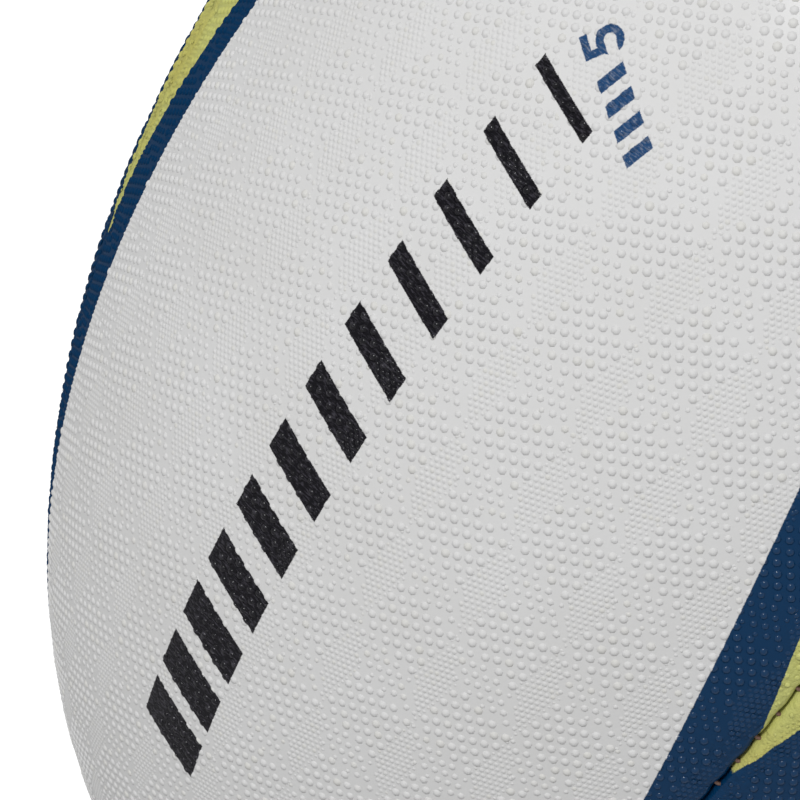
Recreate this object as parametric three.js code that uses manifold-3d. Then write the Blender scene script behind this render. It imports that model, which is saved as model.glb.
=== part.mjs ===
// Oval size 5 ball, lying on its side: four gored panels sewn edge to edge round an inflated bladder.
// Millimetres. X is the long axis, +Z faces the printed top panel, the origin is the middle.
// Each panel is a laminate of a rubber facing and two cloth plies. Its long edges roll over a soft
// shoulder and turn inward as flanges, which are sewn to the next panel's with a waxed thread.

import * as THREE from 'three';
import { mergeVertices } from 'three/addons/utils/BufferGeometryUtils.js';
import Module from 'manifold-3d';

const wasm = await Module();
wasm.setup();

// Driving dimensions of the ball
const BALL_LENGTH = 290;
const BALL_DIAMETER = 191;

// The panels follow each other round the long axis, and the back one faces +Y and takes the valve.
const PANEL_SIDES = ['back', 'top', 'front', 'bottom'];

// Laminate of a panel, outside to inside
const FACING_WALL = 1.1;
const PLY_WALL = 0.5;
const LAYER_CLEARANCE = 0.3;

// Sewn seam
const THREAD_RADIUS = 0.4;
const STITCH_INSET = 1.2;
const FLANGE_REACH = 4;
const INNER_FOLD_RADIUS = 0.3;
const LIP_RADIUS = 1.3;
const TIP_MARGIN = 2.2;

// Bladder
const BLADDER_WALL = 0.6;
const FOOT_CLEARANCE = 0.6;
const BLADDER_END_CLEARANCE = 1.5;
const BLADDER_END_MARGIN = 5.5;

// Inflation valve, flush with the surface in the middle of the back panel
const PLUG_RADIUS = 3.4;
const PLUG_COLLAR_REACH = 0.7;
const PLUG_COLLAR_HEIGHT = 1.8;
const PLUG_COLLAR_DEPTH = 8;
const NEEDLE_RADIUS = 0.8;
const NEEDLE_DEPTH = 12;
const NEEDLE_MOUTH_REACH = 0.5;
const BOOT_WALL = 1.6;
const BOOT_LENGTH = 16;
const BOOT_LIP_WALL = 1.2;
const BOOT_LIP_REACH = 1.8;
const BOOT_FLANGE_RADIUS = 13;
const BOOT_FLANGE_WALL = 1;
const PATCH_RADIUS = 15;
const PATCH_WALL = 0.5;
const CUT_OVERRUN = 3;
const HOLLOW_OVERRUN = 9;

// Fineness of the surfaces
const OUTSIDE_STATION_COUNT = 18;
const OUTSIDE_FACE_STEPS = 12;
const LIP_STEPS = 2;
const STATION_COUNT = 12;
const FACE_STEPS = 8;
const BLADDER_FACE_STEPS = 4;
const SHOULDER_STEPS = 2;
const FOLD_STEPS = 1;
const THREAD_SIDES = 6;
const VALVE_SIDES = 20;

// Sizes that follow from the ones above
const HALF_LENGTH = BALL_LENGTH / 2;
const HALF_GIRTH = BALL_DIAMETER / 2;
const HALF_PANEL_TURN = Math.PI / PANEL_SIDES.length;
const OUTER_PLY_DEPTH = FACING_WALL + LAYER_CLEARANCE;
const INNER_PLY_DEPTH = OUTER_PLY_DEPTH + PLY_WALL + LAYER_CLEARANCE;
const LAMINATE_WALL = INNER_PLY_DEPTH + PLY_WALL;
const SHOULDER_RADIUS = LAMINATE_WALL + INNER_FOLD_RADIUS;
const LIP_HALF_GAP = LAYER_CLEARANCE / 2;
const SEAM_HALF_GAP = THREAD_RADIUS + LAYER_CLEARANCE;
const FLANGE_DEPTH = SHOULDER_RADIUS + FLANGE_REACH;
const STITCH_DEPTH = SHOULDER_RADIUS + STITCH_INSET;
const COLLAR_RADIUS = (SEAM_HALF_GAP + LAMINATE_WALL) / Math.sin(HALF_PANEL_TURN) + TIP_MARGIN;
const PATCH_DEPTH = LAMINATE_WALL + LAYER_CLEARANCE;
const BLADDER_DEPTH = PATCH_DEPTH + PATCH_WALL + LAYER_CLEARANCE;
const BLADDER_NOTCH_DEPTH = FLANGE_DEPTH + FOOT_CLEARANCE;
const BLADDER_SEAM_INSET = SEAM_HALF_GAP + LAMINATE_WALL + LAYER_CLEARANCE;
const BLADDER_END_RADIUS =
  (BLADDER_SEAM_INSET + BLADDER_WALL) / Math.sin(HALF_PANEL_TURN) + BLADDER_END_MARGIN;
const BOOT_BORE_RADIUS = PLUG_RADIUS + LAYER_CLEARANCE;
const BOOT_RADIUS = BOOT_BORE_RADIUS + BOOT_WALL;
const BOOT_FLANGE_DEPTH = BLADDER_DEPTH + BLADDER_WALL + LAYER_CLEARANCE;
const VALVE_HOLE_RADIUS = BOOT_RADIUS + LAYER_CLEARANCE;

// The ball's outline in the plane of its long axis: where it passes at an eccentric angle from the
// girth, and which way it faces there.
function outlineAt(angle) {
  const along = HALF_LENGTH * Math.sin(angle);
  const out = HALF_GIRTH * Math.cos(angle);
  const slopeAlong = along / HALF_LENGTH ** 2;
  const slopeOut = out / HALF_GIRTH ** 2;
  const slope = Math.hypot(slopeAlong, slopeOut);
  return { along, out, facingAlong: slopeAlong / slope, facingOut: slopeOut / slope };
}

function angleAtRadius(radius) {
  return Math.acos(radius / HALF_GIRTH);
}

// Evenly spaced angles from one tip's collar to the other's. All inner surfaces share their stations, so
// that the facets of one layer lie parallel to those of the next, and the ball's outside has finer ones.
const COLLAR_ANGLE = angleAtRadius(COLLAR_RADIUS);

function evenStations(count) {
  return Array.from({ length: count + 1 }, (_, index) =>
    outlineAt(COLLAR_ANGLE * (2 * index / count - 1)));
}

const STATIONS = evenStations(STATION_COUNT);
const OUTSIDE_STATIONS = evenStations(OUTSIDE_STATION_COUNT);

function radiusAt(station, depth) {
  return station.out - depth * station.facingOut;
}

// A point at a depth below the ball's surface, turned about the long axis away from the +Y direction
function pointAt(station, depth, turn) {
  const radius = radiusAt(station, depth);
  const along = station.along - depth * station.facingAlong;
  return new THREE.Vector3(along, radius * Math.cos(turn), radius * Math.sin(turn));
}

// The turn, from the middle of a panel, of a point that keeps a distance from the seam's plane
function turnBeside(station, depth, seamDistance) {
  const sine = Math.min(seamDistance / radiusAt(station, depth), Math.sin(HALF_PANEL_TURN));
  return HALF_PANEL_TURN - Math.asin(sine);
}

// Merges the shared corners of a closed surface, leaves out the triangles that this closes up, and
// turns the rest to face outward.
function weld(geometry) {
  const merged = mergeVertices(geometry);
  const places = merged.getAttribute('position');
  const index = merged.getIndex();
  const triangles = [];
  for (let start = 0; start < index.count; start += 3) {
    const corners = [index.getX(start), index.getX(start + 1), index.getX(start + 2)];
    if (new Set(corners).size === corners.length) triangles.push(corners);
  }
  const volume = triangles.reduce((sum, corners) => {
    const [a, b, c] = corners.map((corner) => new THREE.Vector3().fromBufferAttribute(places, corner));
    return sum + a.dot(b.cross(c));
  }, 0);
  merged.setIndex(triangles.flatMap(([a, b, c]) => (volume < 0 ? [a, c, b] : [a, b, c])));
  return merged;
}

function closedGeometry(triangles) {
  return weld(new THREE.BufferGeometry().setFromPoints(triangles.flat()));
}

function quad(a, b, c, d) {
  return [[a, b, c], [a, c, d]];
}

// Skin between rings of points, each ring a closed loop with as many points as the next
function loftSides(rings) {
  const triangles = [];
  for (let index = 1; index < rings.length; index += 1) {
    const [near, far] = [rings[index - 1], rings[index]];
    near.forEach((point, place) => {
      const next = (place + 1) % near.length;
      triangles.push(...quad(point, near[next], far[next], far[place]));
    });
  }
  return triangles;
}

function fan(centre, ring) {
  return ring.map((point, place) => [centre, point, ring[(place + 1) % ring.length]]);
}

// A quarter-round edge, from a flange's face up to the panel's: the bend's centre lies a radius below the
// ball's surface and a radius past the gap, and the edge itself runs an offset inside that.
function roundedEdge(halfGap, radius, offset, steps) {
  const bend = radius - offset;
  return Array.from({ length: steps }, (_, step) => {
    const angle = Math.PI / 2 * step / steps;
    return {
      seamDistance: halfGap + radius - bend * Math.cos(angle),
      depth: radius - bend * Math.sin(angle),
    };
  });
}

// A run over the panel from the foot of one flange to the foot of the other, from the points of its edge
function panelRun(station, { edge, offset, faceEdge, faceSteps }) {
  const side = edge.map(({ seamDistance, depth }) =>
    ({ depth, turn: turnBeside(station, depth, seamDistance) }));
  const faceTurn = turnBeside(station, offset, faceEdge);
  const face = Array.from({ length: faceSteps + 1 }, (_, step) =>
    ({ depth: offset, turn: faceTurn * (2 * step / faceSteps - 1) }));
  const before = side.map(({ depth, turn }) => pointAt(station, depth, -turn));
  const after = side.map(({ depth, turn }) => pointAt(station, depth, turn)).reverse();
  return [...before, ...face.map(({ depth, turn }) => pointAt(station, depth, turn)), ...after];
}

// The shoulders of all layers bend round one centre, so each follows its neighbour at an even gap.
function layerProfile(offset, foldSteps, footDepth) {
  const foot = { seamDistance: SEAM_HALF_GAP + offset, depth: footDepth };
  return {
    edge: [foot, ...roundedEdge(SEAM_HALF_GAP, SHOULDER_RADIUS, offset, foldSteps)],
    offset,
    faceEdge: SEAM_HALF_GAP + SHOULDER_RADIUS,
    faceSteps: FACE_STEPS,
  };
}

// The facing's outside: its moulded lips all but meet over the sewing, and its flanges stand back from it.
// It goes on under the flange's foot, past the wall, so that the foot is square.
function outsideProfile() {
  const underFoot = SEAM_HALF_GAP + FACING_WALL + LAYER_CLEARANCE;
  return {
    edge: [
      { seamDistance: underFoot, depth: FLANGE_DEPTH },
      { seamDistance: SEAM_HALF_GAP, depth: FLANGE_DEPTH },
      { seamDistance: SEAM_HALF_GAP, depth: SHOULDER_RADIUS },
      ...roundedEdge(LIP_HALF_GAP, LIP_RADIUS, 0, LIP_STEPS),
    ],
    offset: 0,
    faceEdge: LIP_HALF_GAP + LIP_RADIUS,
    faceSteps: OUTSIDE_FACE_STEPS,
  };
}

function tipAngleAt(seamDistance) {
  return angleAtRadius(seamDistance / Math.sin(HALF_PANEL_TURN));
}

// A ply of the panel that faces +Y: a gored shell with turned-in flanges, whose section closes to an
// upright edge at each tip of the ball.
function plyGeometry(offset, wall, foldSteps) {
  const tipAngle = tipAngleAt(SEAM_HALF_GAP + offset);
  const rings = STATIONS.map((station) => [
    ...panelRun(station, layerProfile(offset, foldSteps, FLANGE_DEPTH)),
    ...panelRun(station, layerProfile(offset + wall, foldSteps, FLANGE_DEPTH)).reverse(),
  ]);
  const tipRing = (angle) => {
    const tip = outlineAt(angle);
    const half = rings[0].length / 2;
    const outer = pointAt(tip, offset, 0);
    const inner = pointAt(tip, offset + wall, 0);
    return [...Array(half).fill(outer), ...Array(half).fill(inner)];
  };
  return closedGeometry(loftSides([tipRing(-tipAngle), ...rings, tipRing(tipAngle)]));
}

// A solid gore under a run: closed straight across its feet, and drawn out to a point at each tip
function goreGeometry(stations, profile, tipAngle) {
  const rings = stations.map((station) => panelRun(station, profile));
  const tipRing = (angle) =>
    Array(rings[0].length).fill(pointAt(outlineAt(angle), profile.offset, 0));
  return closedGeometry(loftSides([tipRing(-tipAngle), ...rings, tipRing(tipAngle)]));
}

// The facing of the panel that faces +Y: a finely faceted gore, hollowed to its wall by the coarser gore
// that the outer ply lies against.
function facingGeometry() {
  const outside = goreGeometry(OUTSIDE_STATIONS, outsideProfile(), tipAngleAt(LIP_HALF_GAP));
  const hollow = goreGeometry(
    STATIONS,
    layerProfile(FACING_WALL, SHOULDER_STEPS, FLANGE_DEPTH + HOLLOW_OVERRUN),
    tipAngleAt(SEAM_HALF_GAP + FACING_WALL),
  );
  return toGeometry(toSolid(outside).subtract(toSolid(hollow)));
}

// One side of the bladder's wall: a lobe under each panel, with a notch at each seam that goes round
// the flanges, and a plain cap over each end.
function bladderGeometry(wall) {
  const seamDistance = BLADDER_SEAM_INSET + wall;
  const ringAt = (station, lobeDepth, notchDepth) => {
    const lobeTurn = turnBeside(station, lobeDepth, seamDistance);
    const notchTurn = turnBeside(station, notchDepth, seamDistance);
    const ring = [];
    for (let panel = 0; panel < PANEL_SIDES.length; panel += 1) {
      const middle = 2 * HALF_PANEL_TURN * panel;
      ring.push(pointAt(station, notchDepth, middle - notchTurn));
      for (let step = 0; step <= BLADDER_FACE_STEPS; step += 1) {
        const turn = lobeTurn * (2 * step / BLADDER_FACE_STEPS - 1);
        ring.push(pointAt(station, lobeDepth, middle + turn));
      }
      ring.push(pointAt(station, notchDepth, middle + notchTurn));
    }
    return ring;
  };
  const endAngle = angleAtRadius(BLADDER_END_RADIUS);
  const endDepth = BLADDER_NOTCH_DEPTH + BLADDER_END_CLEARANCE + wall;
  const endRing = (angle) => ringAt(outlineAt(angle), endDepth, endDepth);
  const lobed = STATIONS.slice(1, -1)
    .map((station) => ringAt(station, BLADDER_DEPTH + wall, BLADDER_NOTCH_DEPTH + wall));
  const rings = [endRing(-endAngle), ...lobed, endRing(endAngle)];
  const pole = pointAt(outlineAt(Math.PI / 2), endDepth, 0);
  return closedGeometry([
    ...fan(pole.clone().negate(), rings[0]).map((triangle) => triangle.reverse()),
    ...loftSides(rings),
    ...fan(pole, rings[rings.length - 1]),
  ]);
}

// The run of thread along one seam: a round tube in the seam's plane, between the flanges
function threadGeometry() {
  const rings = STATIONS.map((station) => {
    const centre = pointAt(station, STITCH_DEPTH, 0);
    return Array.from({ length: THREAD_SIDES }, (_, side) => {
      const angle = 2 * Math.PI * side / THREAD_SIDES;
      const out = THREAD_RADIUS * Math.sin(angle);
      const across = THREAD_RADIUS * Math.cos(angle);
      return centre.clone().add(
        new THREE.Vector3(out * station.facingAlong, out * station.facingOut, across));
    });
  });
  const [first, last] = [STATIONS[0], STATIONS[STATIONS.length - 1]];
  return closedGeometry([
    ...fan(pointAt(first, STITCH_DEPTH, 0), rings[0]).map((triangle) => triangle.reverse()),
    ...loftSides(rings),
    ...fan(pointAt(last, STITCH_DEPTH, 0), rings[rings.length - 1]),
  ]);
}

// A slab of the middle of the +Y panel between two depths, with facets parallel to the layers above
function slabGeometry(depth, wall, faceSteps) {
  const middle = STATION_COUNT / 2;
  const around = STATIONS.slice(middle - 1, middle + 2);
  const runAt = (station, runDepth) => {
    const faceTurn = turnBeside(station, runDepth, SEAM_HALF_GAP + SHOULDER_RADIUS);
    return Array.from({ length: faceSteps + 1 }, (_, step) =>
      pointAt(station, runDepth, faceTurn * (2 * step / faceSteps - 1)));
  };
  const pairs = around.map((station) => [runAt(station, depth), runAt(station, depth + wall)]);
  const end = ([outer, inner]) => outer.slice(1).flatMap((point, place) =>
    quad(outer[place], point, inner[place + 1], inner[place]));
  return closedGeometry([
    ...end(pairs[0]).map((triangle) => triangle.reverse()),
    ...loftSides(pairs.map(([outer, inner]) => [...outer, ...[...inner].reverse()])),
    ...end(pairs[pairs.length - 1]),
  ]);
}

// A turned piece on the valve's axis, from pairs of radius and depth below the panel's surface
function turnedGeometry(outline) {
  const points = outline.map(([radius, depth]) => new THREE.Vector2(radius, HALF_GIRTH - depth));
  const turned = new THREE.LatheGeometry([...points, points[0]], VALVE_SIDES);
  turned.deleteAttribute('normal');
  turned.deleteAttribute('uv');
  return weld(turned);
}

function toSolid(geometry) {
  return new wasm.Manifold(new wasm.Mesh({
    numProp: 3,
    vertProperties: new Float32Array(geometry.getAttribute('position').array),
    triVerts: new Uint32Array(geometry.getIndex().array),
  }));
}

function toGeometry(solid) {
  const mesh = solid.getMesh();
  const geometry = new THREE.BufferGeometry();
  geometry.setAttribute('position', new THREE.BufferAttribute(mesh.vertProperties, mesh.numProp));
  geometry.setIndex(new THREE.BufferAttribute(mesh.triVerts, 1));
  return geometry;
}

// A plain round bar on the valve's axis, from outside the ball to below the valve
function valveBar(radius) {
  const foot = BOOT_LENGTH + CUT_OVERRUN;
  return toSolid(turnedGeometry([[0, foot], [radius, foot], [radius, -CUT_OVERRUN], [0, -CUT_OVERRUN]]));
}

const valveHole = valveBar(VALVE_HOLE_RADIUS);

function withValveHole(geometry) {
  return toGeometry(toSolid(geometry).subtract(valveHole));
}

// Moulded boot: a neck that fills the panel's hole, with a groove and a lip that hold the plug, and a
// wide flange, moulded to the bladder's curve, that is bonded under the bladder's wall.
function bootGeometry() {
  const grooveTop = PLUG_COLLAR_DEPTH - LAYER_CLEARANCE;
  const grooveFoot = PLUG_COLLAR_DEPTH + PLUG_COLLAR_HEIGHT + LAYER_CLEARANCE;
  const grooveRadius = BOOT_BORE_RADIUS + PLUG_COLLAR_REACH;
  const neck = turnedGeometry([
    [BOOT_RADIUS, 0],
    [BOOT_RADIUS, BOOT_LENGTH],
    [BOOT_BORE_RADIUS - BOOT_LIP_REACH, BOOT_LENGTH],
    [BOOT_BORE_RADIUS - BOOT_LIP_REACH, BOOT_LENGTH - BOOT_LIP_WALL],
    [BOOT_BORE_RADIUS, BOOT_LENGTH - BOOT_LIP_WALL],
    [BOOT_BORE_RADIUS, grooveFoot],
    [grooveRadius, grooveFoot],
    [grooveRadius, grooveTop],
    [BOOT_BORE_RADIUS, grooveTop],
    [BOOT_BORE_RADIUS, 0],
  ]);
  const slab = toSolid(slabGeometry(BOOT_FLANGE_DEPTH, BOOT_FLANGE_WALL, BLADDER_FACE_STEPS));
  const flange = slab.intersect(valveBar(BOOT_FLANGE_RADIUS)).subtract(valveBar(grooveRadius));
  return toGeometry(toSolid(neck).add(flange));
}

// Soft plug: a rod with a collar and a channel for the needle, its head flush with the panel's surface
function plugGeometry() {
  const foot = BOOT_LENGTH - BOOT_LIP_WALL - LAYER_CLEARANCE;
  const collarFoot = PLUG_COLLAR_DEPTH + PLUG_COLLAR_HEIGHT;
  const collarRadius = PLUG_RADIUS + PLUG_COLLAR_REACH;
  return turnedGeometry([
    [0, foot],
    [PLUG_RADIUS, foot],
    [PLUG_RADIUS, collarFoot],
    [collarRadius, collarFoot],
    [collarRadius, PLUG_COLLAR_DEPTH],
    [PLUG_RADIUS, PLUG_COLLAR_DEPTH],
    [PLUG_RADIUS, 0],
    [NEEDLE_RADIUS + NEEDLE_MOUTH_REACH, 0],
    [NEEDLE_RADIUS, NEEDLE_MOUTH_REACH],
    [NEEDLE_RADIUS, NEEDLE_DEPTH],
    [0, NEEDLE_DEPTH],
  ]);
}

// Ring of cloth that backs the panel round the valve
function patchGeometry() {
  const slab = toSolid(slabGeometry(PATCH_DEPTH, PATCH_WALL, FACE_STEPS));
  return toGeometry(slab.intersect(valveBar(PATCH_RADIUS)).subtract(valveHole));
}

function bladderWithValveHole() {
  const outside = toSolid(bladderGeometry(0));
  const inside = toSolid(bladderGeometry(BLADDER_WALL));
  return toGeometry(outside.subtract(inside).subtract(valveHole));
}

const facingRubber = { color: 0xd6d5d0, roughness: 0.55, metalness: 0 };
const plyCloth = { color: 0xe4ddc8, roughness: 0.9, metalness: 0 };
const waxedThread = { color: 0x6b5148, roughness: 0.7, metalness: 0 };
const bladderRubber = { color: 0x2a2a2c, roughness: 0.6, metalness: 0 };
const bootRubber = { color: 0x1d1d1f, roughness: 0.5, metalness: 0 };
const plugRubber = { color: 0x8f9094, roughness: 0.5, metalness: 0 };

function namedMesh(name, geometry, look) {
  const mesh = new THREE.Mesh(geometry, new THREE.MeshStandardMaterial(look));
  mesh.name = name;
  return mesh;
}

const group = new THREE.Group();

// Each layer is made once, facing +Y, and turned to each panel's side.
const layers = [
  { name: 'facing', plain: facingGeometry(), look: facingRubber },
  { name: 'outer_ply', plain: plyGeometry(OUTER_PLY_DEPTH, PLY_WALL, FOLD_STEPS), look: plyCloth },
  { name: 'inner_ply', plain: plyGeometry(INNER_PLY_DEPTH, PLY_WALL, FOLD_STEPS), look: plyCloth },
];
for (const { name, plain, look } of layers) {
  PANEL_SIDES.forEach((side, place) => {
    const geometry = side === 'back' ? withValveHole(plain) : plain;
    const layer = namedMesh(`${name}_${side}`, geometry, look);
    layer.rotation.x = 2 * HALF_PANEL_TURN * place;
    group.add(layer);
  });
}

// One run of thread in each seam, half a panel on from each panel's middle
PANEL_SIDES.forEach((side, place) => {
  const nextSide = PANEL_SIDES[(place + 1) % PANEL_SIDES.length];
  const thread = namedMesh(`seam_thread_${side}_${nextSide}`, threadGeometry(), waxedThread);
  thread.rotation.x = HALF_PANEL_TURN * (2 * place + 1);
  group.add(thread);
});

group.add(namedMesh('bladder', bladderWithValveHole(), bladderRubber));
group.add(namedMesh('valve_boot', bootGeometry(), bootRubber));
group.add(namedMesh('valve_plug', plugGeometry(), plugRubber));
group.add(namedMesh('valve_patch', patchGeometry(), plyCloth));

export default group;
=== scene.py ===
"""Dressed oval ball of size 5, lying on its side: four pimpled and printed rubber panels, hand-sewn seams,
cloth plies, a bladder and a rubber valve. Each panel is laid out as the flat sheet that it is cut from, in
millimetres along the ball and across the panel, and is then wrapped onto the ball."""

import math

import bmesh
import bpy
import numpy as np
from mathutils import Matrix, Vector


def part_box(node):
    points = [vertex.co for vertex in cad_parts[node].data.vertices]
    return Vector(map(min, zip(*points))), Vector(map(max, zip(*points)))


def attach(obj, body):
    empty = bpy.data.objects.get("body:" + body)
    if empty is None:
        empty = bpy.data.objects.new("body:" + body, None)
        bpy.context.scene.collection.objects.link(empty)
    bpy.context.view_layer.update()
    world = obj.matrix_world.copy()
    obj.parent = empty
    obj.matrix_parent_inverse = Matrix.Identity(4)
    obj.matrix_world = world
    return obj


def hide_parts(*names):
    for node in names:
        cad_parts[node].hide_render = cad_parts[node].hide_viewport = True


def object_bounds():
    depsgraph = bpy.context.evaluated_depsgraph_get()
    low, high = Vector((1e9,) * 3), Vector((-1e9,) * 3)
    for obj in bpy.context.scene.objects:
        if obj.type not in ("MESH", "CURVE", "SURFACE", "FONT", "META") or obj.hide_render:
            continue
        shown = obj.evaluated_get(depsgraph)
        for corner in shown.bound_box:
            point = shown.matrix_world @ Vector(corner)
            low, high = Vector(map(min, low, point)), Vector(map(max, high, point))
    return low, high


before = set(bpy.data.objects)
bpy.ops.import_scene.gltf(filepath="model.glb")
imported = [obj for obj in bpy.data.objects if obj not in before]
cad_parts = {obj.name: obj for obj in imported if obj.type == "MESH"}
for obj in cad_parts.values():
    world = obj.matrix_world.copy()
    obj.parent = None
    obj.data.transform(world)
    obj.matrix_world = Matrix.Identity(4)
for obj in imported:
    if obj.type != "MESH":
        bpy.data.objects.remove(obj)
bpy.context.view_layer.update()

MM = 0.001
RANDOM_SEED = 5

# Points of a shape that lie nearer than this share of its radius are merged
MERGE_SHARE = 0.01

# The ball's outline, from the frame
HALF_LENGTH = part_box("facing_top")[1].x / MM
HALF_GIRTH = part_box("facing_top")[1].z / MM

# Panels by the way they face, with how far each is turned about the long axis from +Y, in quarter turns
PANELS = {"back": 0, "top": 1, "front": 2, "bottom": 3}
HALF_TURN = math.pi / len(PANELS)

# Rubber sheet and its turned-in seam edges. Towards the tips the rolled shoulder keeps to a share of the
# room beside the seam, and the wall to a share of the shoulder's radius.
SHEET_WALL = 1.1
SEAM_HALF_GAP = 0.2
SHOULDER_RADIUS = 1.3
SHOULDER_SHARE = 0.6
FLANGE_REACH = 3.6
TIP_RADIUS = 1.2
THINNEST_SHARE = 0.6

# How finely the outline and the sheet are divided
OUTLINE_STEPS = 4000
STATION_COUNT = 330
FACE_COLUMNS = 36
SHOULDER_COLUMNS = 5
FLANGE_COLUMNS = 2

# Moulded grip: oblique cubes side by side, whose three faces hold large, medium and small pimples. The
# edges of the cubes are steps along the sheet and across it.
LONG_EDGE = np.array([9.47, 2.6])
CROSS_EDGE = np.array([-1.9, 10.07])
SHORT_EDGE = np.array([6.45, -3.17])
GRIP_START = np.array([6.97, 4.98])

# Each kind of patch: its middle, its two edges, the step between pimples, the step between rows, whether
# every other row shifts by half a step, the first pimple, which shares of the two edges are filled with
# whole pimples and which with small ones, and the pimple. Its shoulder is a share of its radius, and
# without one it is a cone.
GRIP = {
    "large": dict(
        middle=(CROSS_EDGE - SHORT_EDGE) / 2, edges=(LONG_EDGE, CROSS_EDGE),
        step=np.array([2.08, 0.56]), row=np.array([-0.305, 1.25]), staggered=True,
        first=np.array([0.89, 0.905]),
        whole=((-0.5, 0.5), (-0.5, 0.5)), partial=((-0.5, 0.5), (-0.5, 0.5)),
        sides=7, radius=0.67, height=0.25, shoulder=0.7,
    ),
    "medium": dict(
        middle=np.array([3.7, 6.06]), edges=(SHORT_EDGE, CROSS_EDGE),
        step=np.array([1.67, 0.46]), row=np.array([-0.315, 1.21]), staggered=True,
        first=np.array([0.22, 0.69]),
        whole=((-0.3, 0.43), (-0.43, 0.43)), partial=((-0.41, 0.47), (-0.47, 0.47)),
        sides=6, radius=0.56, height=0.2, shoulder=0.7,
    ),
    "small": dict(
        middle=np.zeros(2), edges=(LONG_EDGE, SHORT_EDGE),
        step=np.array([0.951, 0.275]), row=np.array([0.304, 0.802]), staggered=False,
        first=np.array([0.42, 0.36]),
        whole=((-0.49, 0.49), (-0.4, 0.43)), partial=((-0.49, 0.49), (-0.5, 0.54)),
        sides=6, radius=0.42, height=0.14, shoulder=0,
    ),
}

# How many rows and steps are tried each way from the middle, in a patch and over the panel, and a short
# way along the sheet that shows which way is ahead
PATCH_REACH = 12
GRIP_ROWS = 14
GRIP_STEPS = 24
NEARBY = 0.05

# A pimple's root in the sheet, how large a small one is, how high its shoulder is in its height, how many
# times steeper than a round cap it shades, at its foot and above, and how far its size varies
PIMPLE_ROOT = 0.03
PARTIAL_PIMPLE = 0.68
PIMPLE_SHOULDER_HEIGHT = 0.64
PIMPLE_FOOT_LEAN = 2.5
PIMPLE_LEAN = 1.6
PIMPLE_SPREAD = 0.05

# Where the grip ends, and where its pimples have grown from their least size to their full one
GRIP_SEAM_MARGIN = 0.9
GRIP_FULL_DISTANCE = 3.5
GRIP_LEAST = 0.55
GRIP_TIP_MARGIN = 4.0
GRIP_VALVE_MARGIN = 8.2

# Printed stripes along each seam, with a pointed start: where along the ball they start, their length and
# their widest reach from the seam. The two sides of a seam differ, as the sheets are all printed alike.
# The print lies a little off along the ball on some panels, and doesn't change inside the groove.
NAVY_STRIPE = {1: (-72, 428, 30), -1: (-170, 905, 30)}
LIME_STRIPE = {1: (-24, 150, 14.3), -1: (-37, 160, 14)}
PRINT_SHIFT = {"back": -18, "top": 0, "front": 6, "bottom": -4}
GROOVE_REACH = 0.4

# Rows of slanted bars, printed along the middle of the top and bottom panels: twelve in black, and four
# small ones before the numeral. The width is that of the first bar and of the last.
BAR_SLANT = 0.3
BLACK_BARS = dict(count=12, pitch=10.5, start=-88, width=(7.6, 2.0), middle=0, height=12)
SMALL_BARS = dict(count=4, pitch=3.4, start=-16.6, width=(1.7, 1.7), middle=0.25, height=4.0)
BLACK_ROW_MIDDLE = 2.3
BLACK_ROW_SLOPE = 0.032

# Plain numeral for the ball's size: the place and the way that it and the small bars are laid out from,
# how far along that way the numeral is, and its flag, its stem and its bowl with a gap on the left
SIZE_PLACE = (38.0, 8.5)
SIZE_WAY = (0.507, -0.862)
NUMERAL_START = 6.5
HALF_STROKE = 0.55
FLAG_MIDDLE = (0.2, 2.3)
FLAG_HALF_LENGTH = 1.7
STEM_MIDDLE = (-0.95, 1.45)
STEM_HALF_LENGTH = 1.4
BOWL_DROP = 1.0
BOWL_RADIUS = 1.4
GAP_MIDDLE = (-1.6, 0.05)
GAP_HALF_SIZE = (1.2, 0.75)

# Sewing: the thread, its holes and its way through them, and how the sheet's edge is pulled in
STITCH_PITCH = 4.65
THREAD_RADIUS = 0.3
THREAD_SIDES = 8
STITCH_DEPTH = 1.2
STITCH_DROP = 1.2
STITCH_REACH = 1.7
STITCH_SHARES = (-1, -0.75, -0.35, 0, 0.35, 0.75, 1)
PUCKER_DEPTH = 0.55
PUCKER_WIDTH = 4.2
PUCKER_SPREAD = 0.45
PUCKER_WANDER = 2.4
SEAM_END_MARGIN = 9

# Hole for the valve, how many cuts make the sheet finer round it, and the least reach of its lip
VALVE_HOLE_RADIUS = 5.6
VALVE_HOLE_CUTS = 3
VALVE_HOLE_LIP = 1


def srgb(red, green, blue):
    """A colour for a shader from its value on screen, 0 to 255."""
    channels = [value / 255 for value in (red, green, blue)]
    linear = [c / 12.92 if c <= 0.04045 else ((c + 0.055) / 1.055) ** 2.4 for c in channels]
    return (*linear, 1)


# Inks, and the rubber under them
RUBBER_WHITE = srgb(212, 212, 212)
MOTTLED_WHITE = srgb(202, 201, 199)
YELLOWED_WHITE = srgb(208, 206, 193)
INK_NAVY = srgb(6, 50, 86)
INK_LIME = srgb(193, 195, 118)
WORN_LIME = srgb(189, 182, 98)
INK_BLACK = srgb(6, 5, 12)
# A lighter black, painted into the bars' streaks as highlight
PAINTED_HIGHLIGHT_BLACK = srgb(66, 64, 72)
INK_BLUE = srgb(30, 68, 110)

# How much of the mottled and the yellowed white is mixed in at most, and the noise, or for the yellowed
# white the tint of a pimple, between which a colour sets in
MOTTLED_SHARE = 0.35
MOTTLED_SPAN = (0.35, 0.75)
YELLOWED_SHARE = 0.3
YELLOWED_SPAN = (0.8, 1.0)
WORN_LIME_SPAN = (0.4, 0.7)
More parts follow.
